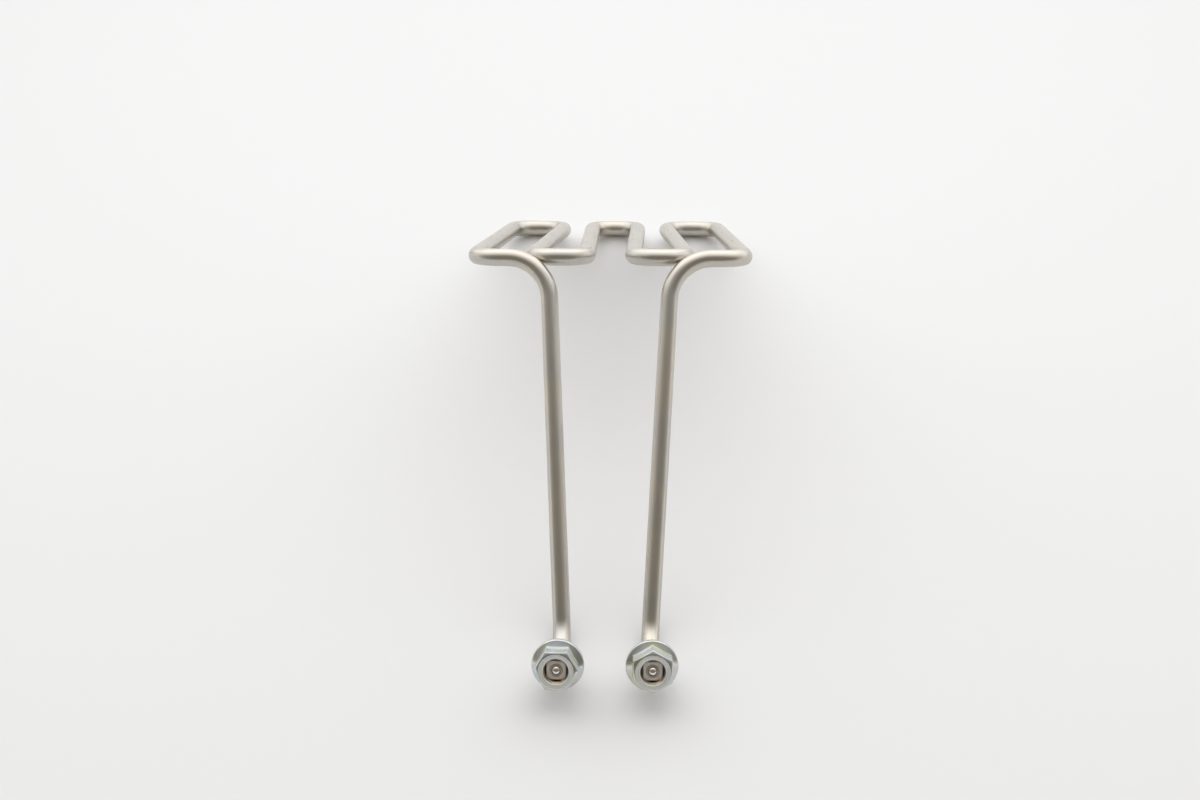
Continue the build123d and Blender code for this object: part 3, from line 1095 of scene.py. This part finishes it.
@dataclass(frozen=True)
class ThreadedBush:
    """Bush brazed over the tube's end: collar, threaded body and square-milled end."""

    back: float = 19.5
    collar_front: float = 22.5
    square_start: float = 29.0
    end: float = 34.5
    collar_radius: float = 8.5
    thread_radius: float = 5.9
    root_radius: float = 5.42
    square_across_flats: float = 9.5
    mouth_radius: float = 3.1
    socket_radius: float = 4.28
    chamfer: float = 0.5
    edge_round: float = 0.12
    milling_step: float = 0.05
    steps: int = 240
    turned_bands: int = 12

    def rings(self) -> list[Ring]:
        """Profile of the bush, from its socket's rim over the collar to the square end's mouth."""
        soft, step = self.edge_round, self.milling_step
        socket, mouth, root, collar = (self.socket_radius, self.mouth_radius, self.root_radius,
                                       self.collar_radius)
        square = polygon_radius(self.square_across_flats, 4, 0.0)

        def milled(angle: float) -> float:
            """Radius of the square end, whose corners are left from the round thread."""
            return min(square(angle), self.thread_radius - step)

        return [
            (socket, self.back + 2 * soft), (socket + 2 * soft, self.back),
            *chamfered_edge(collar, self.back, -1, self.chamfer, soft)[::-1],
            *chamfered_edge(collar, self.collar_front, 1, self.chamfer, soft),
            (root + 2 * soft, self.collar_front), (root, self.collar_front + 2 * soft),
            (root, self.square_start - step), (milled, self.square_start),
            *chamfered_edge(milled, self.end, 1, self.chamfer, soft),
            (mouth + 2 * soft, self.end), (mouth, self.end - 2 * soft),
            (mouth, self.square_start), (socket, self.square_start),
        ]

    def build(self, side: Side, bench: Bench) -> Object:
        """Makes one bush.

        Args:
            side: Which terminal it is on.
            bench: What the pieces are built with.

        Returns:
            The bush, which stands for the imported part's own.
        """
        name = side.label + "_bush"
        rings = self.rings()
        mesh = turned_mesh(name, rings, self.steps, bench.terminal(side))
        # The milled bands take the lighter copy of the nickel, which is painted light.
        milled_bands = dict.fromkeys(range(self.turned_bands, len(rings)), 1)
        dress_bands(mesh, self.steps, bench.chosen(NICKEL, MILLED_END_NICKEL_PAINTED_LIGHT), milled_bands)
        return show_piece(name, mesh, None, [side.label + "_threaded_bush"])


@dataclass(frozen=True)
class BrazeRing:
    """Fillet of braze between the sheath and the back of a bush's collar."""

    sheath_radius: float = 4.25
    collar_back: float = 19.5
    leg: float = 0.75
    ripple: float = 0.06
    sheath_overlap: float = 0.05
    collar_overlap: float = 0.03
    steps: int = 96

    def build(self, side: Side, bench: Bench) -> Object:
        """Lays one fillet.

        Args:
            side: Which terminal it is on.
            bench: What the pieces are built with.

        Returns:
            The fillet.
        """

        def creep(angle: float) -> float:
            """How far the braze has run, which varies a little round the joint."""
            return self.ripple * (math.sin(3 * angle + side.value) + 0.6 * math.sin(5 * angle))

        skin, inside = self.sheath_radius, self.sheath_radius - self.sheath_overlap
        back, seat = self.collar_back, self.collar_back + self.collar_overlap
        rings = [
            (inside, moved(creep, back - self.leg)),
            (skin + 0.06, moved(creep, back - self.leg * 0.8)),
            (skin + 0.22, back - self.leg * 0.38),
            (moved(creep, skin + 0.55), back - 0.08),
            (moved(creep, skin + self.leg), seat),
            (inside, seat),
        ]
        name = side.label + "_braze_fillet"
        mesh = turned_mesh(name, rings, self.steps, bench.terminal(side))
        return show_piece(name, mesh, bench.materials[BRAZE])


@dataclass(frozen=True)
class TerminalEnd:
    """Bush, nut, threads and braze of one terminal, in the order in which they are put on."""

    side: Side
    nut_turn: float
    bush: ThreadedBush = ThreadedBush()
    nut: FlangeNut = FlangeNut()
    thread: ThreadRidge = ThreadRidge()
    braze: BrazeRing = BrazeRing()
    bush_ridge_lift: float = 0.06
    nut_ridge_lift: float = -0.02
    run_out: float = 0.35
    reach_into_nut: float = 0.9
    clear_of_square: float = 0.6

    def build(self, bench: Bench) -> None:
        """Makes the terminal's pieces.

        Args:
            bench: What the pieces are built with.
        """
        side, label, nut = self.side, self.side.label, self.nut
        self.bush.build(side, bench)
        self.braze.build(side, bench)
        nut.build(side, self.nut_turn, bench)
        on_bush = (self.bush.collar_front + self.run_out, nut.seat + self.reach_into_nut)
        self.thread.build(label + "_bush_thread", self.bush.root_radius + self.bush_ridge_lift,
                          on_bush, "bush", side, NICKEL, bench)
        # The nut's thread takes the dark finish with a warm tint, which is painted shade and painted
        # glints.
        in_nut = (self.bush.square_start + self.clear_of_square,
                  nut.seat + nut.height - nut.mouth_chamfer - self.run_out)
        self.thread.build(label + "_nut_thread", nut.bore_radius + self.nut_ridge_lift,
                          in_nut, "nut", side, NUT_THREAD_SHADE_AND_GLINTS, bench)


class HeatingElement:
    """The whole element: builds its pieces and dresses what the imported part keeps."""

    single_nodes: dict[str, SurfaceFinish] = {
        "insulation_filling": POWDER, "sheath_tube": STAINLESS, "resistance_coil": WIRE}
    paired_nodes: dict[str, SurfaceFinish] = {
        "insulator_bead": CERAMIC, "end_seal": RESIN, "terminal_pin": PIN_STEEL,
        "flange_nut": ZINC, "threaded_bush": NICKEL}
    nut_turns: dict[Side, float] = {Side.LEFT: 0.0, Side.RIGHT: 30.0}
    pin_head_middle: float = 34.8

    def __init__(self, frame: dict[str, Any]) -> None:
        """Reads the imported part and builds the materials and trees."""
        self.nodes = frame["nodes"]
        route = SheathRoute()
        placement = Placement.from_record(frame["record"], route, self.pin_head_middle)
        effects = EffectGroups()
        materials = {finish: finish.material(effects) for finish in PALETTE}
        self.bench = Bench(route, placement, PathTrees(), materials)

    def dress(self, node: str, finish: SurfaceFinish) -> None:
        """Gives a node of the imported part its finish, even where a piece replaces it."""
        mesh = self.nodes[node].data
        mesh.materials.clear()
        mesh.materials.append(self.bench.materials[finish])
        LOG.info("%s: dressed as %s", node, finish.name)

    def build(self) -> None:
        """Builds and dresses every piece."""
        SheathTube().build(self.bench)
        ResistanceWire().build(self.bench)
        for side, turn in self.nut_turns.items():
            TerminalEnd(side, turn).build(self.bench)
            for kind, finish in self.paired_nodes.items():
                self.dress(f"{side.label}_{kind}", finish)
        for node, finish in self.single_nodes.items():
            self.dress(node, finish)


# Studio


@dataclass(frozen=True)
class StudioCamera:
    """Camera that looks down on the element from in front of its terminals."""

    place: tuple[float, float, float] = (0.017016, -0.651644, 0.737551)
    pitch: float = 47.252
    yaw: float = 1.957
    roll: float = -1.011
    focal_pixels: float = 1883.0
    image_width: int = 1200
    sensor_width: float = 36.0
    clip_start: float = 0.01
    clip_end: float = 20.0

    def build(self) -> None:
        """Makes the camera and gives it to the scene."""
        data = bpy.data.cameras.new("studio_camera")
        data.sensor_width = self.sensor_width
        data.lens = self.focal_pixels * self.sensor_width / self.image_width
        data.clip_start, data.clip_end = self.clip_start, self.clip_end
        camera = new_object("studio_camera", data)
        turn = Matrix.Rotation(math.radians(self.yaw), 3, "Z")
        turn = turn @ Matrix.Rotation(math.radians(90.0 - self.pitch), 3, "X")
        turn = turn @ Matrix.Rotation(math.radians(self.roll), 3, "Z")
        camera.matrix_world = Matrix.Translation(Vector(self.place)) @ turn.to_4x4()
        bpy.context.scene.camera = camera


@dataclass(frozen=True)
class SoftLamp:
    """Large rectangular lamp that hangs over the back of the element and shines straight down."""

    place: tuple[float, float, float] = (0.0, 0.38, 0.6)
    width: float = 1.3
    depth: float = 1.0
    power: float = 1.75

    def build(self) -> None:
        """Hangs the lamp."""
        data = bpy.data.lights.new("overhead_soft_lamp", "AREA")
        data.shape = "RECTANGLE"
        data.size, data.size_y = self.width, self.depth
        data.energy = self.power
        lamp = new_object("overhead_soft_lamp", data)
        lamp.visible_camera = False
        down = Vector((0.0, 0.0, -1.0)).to_track_quat("-Z", "Y").to_matrix().to_4x4()
        lamp.matrix_world = Matrix.Translation(Vector(self.place)) @ down


class Studio:
    """Pale floor, soft light and the room that the metal reflects."""

    floor_reach: float = 14.0
    floor_colour: Colour = (0.892, 0.897, 0.912)
    floor_roughness: float = 0.9
    floor_specular: float = 0.1
    bright_colour: Colour = (1.0, 1.0, 1.0)
    dim_colour: Colour = (0.13, 0.118, 0.098)
    front_band: tuple[float, float] = (-0.8, 0.5)
    raised_band: tuple[float, float] = (0.0, 0.15)
    room_strength: float = 1.7

    def build(self) -> None:
        """Sets up floor, lamp and room."""
        self._floor()
        SoftLamp().build()
        self._room()

    def _floor(self) -> None:
        """Lays the floor at Z = 0."""
        shape = bmesh.new()
        bmesh.ops.create_grid(shape, x_segments=4, y_segments=4, size=self.floor_reach)
        mesh = bpy.data.meshes.new("studio_floor")
        shape.to_mesh(mesh)
        shape.free()
        floor = new_object("studio_floor", mesh)
        material = bpy.data.materials.new("pale_paper")
        wiring = cleared_nodes(material)
        paper = wiring.add("ShaderNodeBsdfPrincipled",
                           {"Base Color": self.floor_colour, "Roughness": self.floor_roughness,
                            "Specular IOR Level": self.floor_specular})
        wiring.add("ShaderNodeOutputMaterial", {"Surface": paper.outputs["BSDF"]})
        mesh.materials.append(material)

    def _room(self) -> None:
        """Makes the room: bright all round, dimmer above the camera's side."""
        world = bpy.data.worlds.new("studio_room")
        wiring = cleared_nodes(world)
        direction = wiring.add("ShaderNodeTexCoord").outputs["Generated"]
        parts = wiring.add("ShaderNodeSeparateXYZ", {0: direction})
        towards_camera = wiring.math("MULTIPLY", parts.outputs["Y"], -1.0)
        dim = wiring.math("MULTIPLY", wiring.band(towards_camera, *self.front_band),
                          wiring.band(parts.outputs["Z"], *self.raised_band))
        colour = wiring.blend(dim, self.bright_colour, self.dim_colour)
        light = wiring.add("ShaderNodeBackground", {"Color": colour, "Strength": self.room_strength})
        wiring.add("ShaderNodeOutputWorld", {"Surface": light.outputs[0]})
        bpy.context.scene.world = world


def main() -> None:
    """Builds the element, then its studio and camera."""
    logging.basicConfig(level=logging.INFO, format="%(message)s")
    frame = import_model()
    HeatingElement(frame).build()
    Studio().build()
    StudioCamera().build()
    bpy.context.scene.view_settings.view_transform = "Standard"
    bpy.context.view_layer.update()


if __name__ == "__main__":
    main()
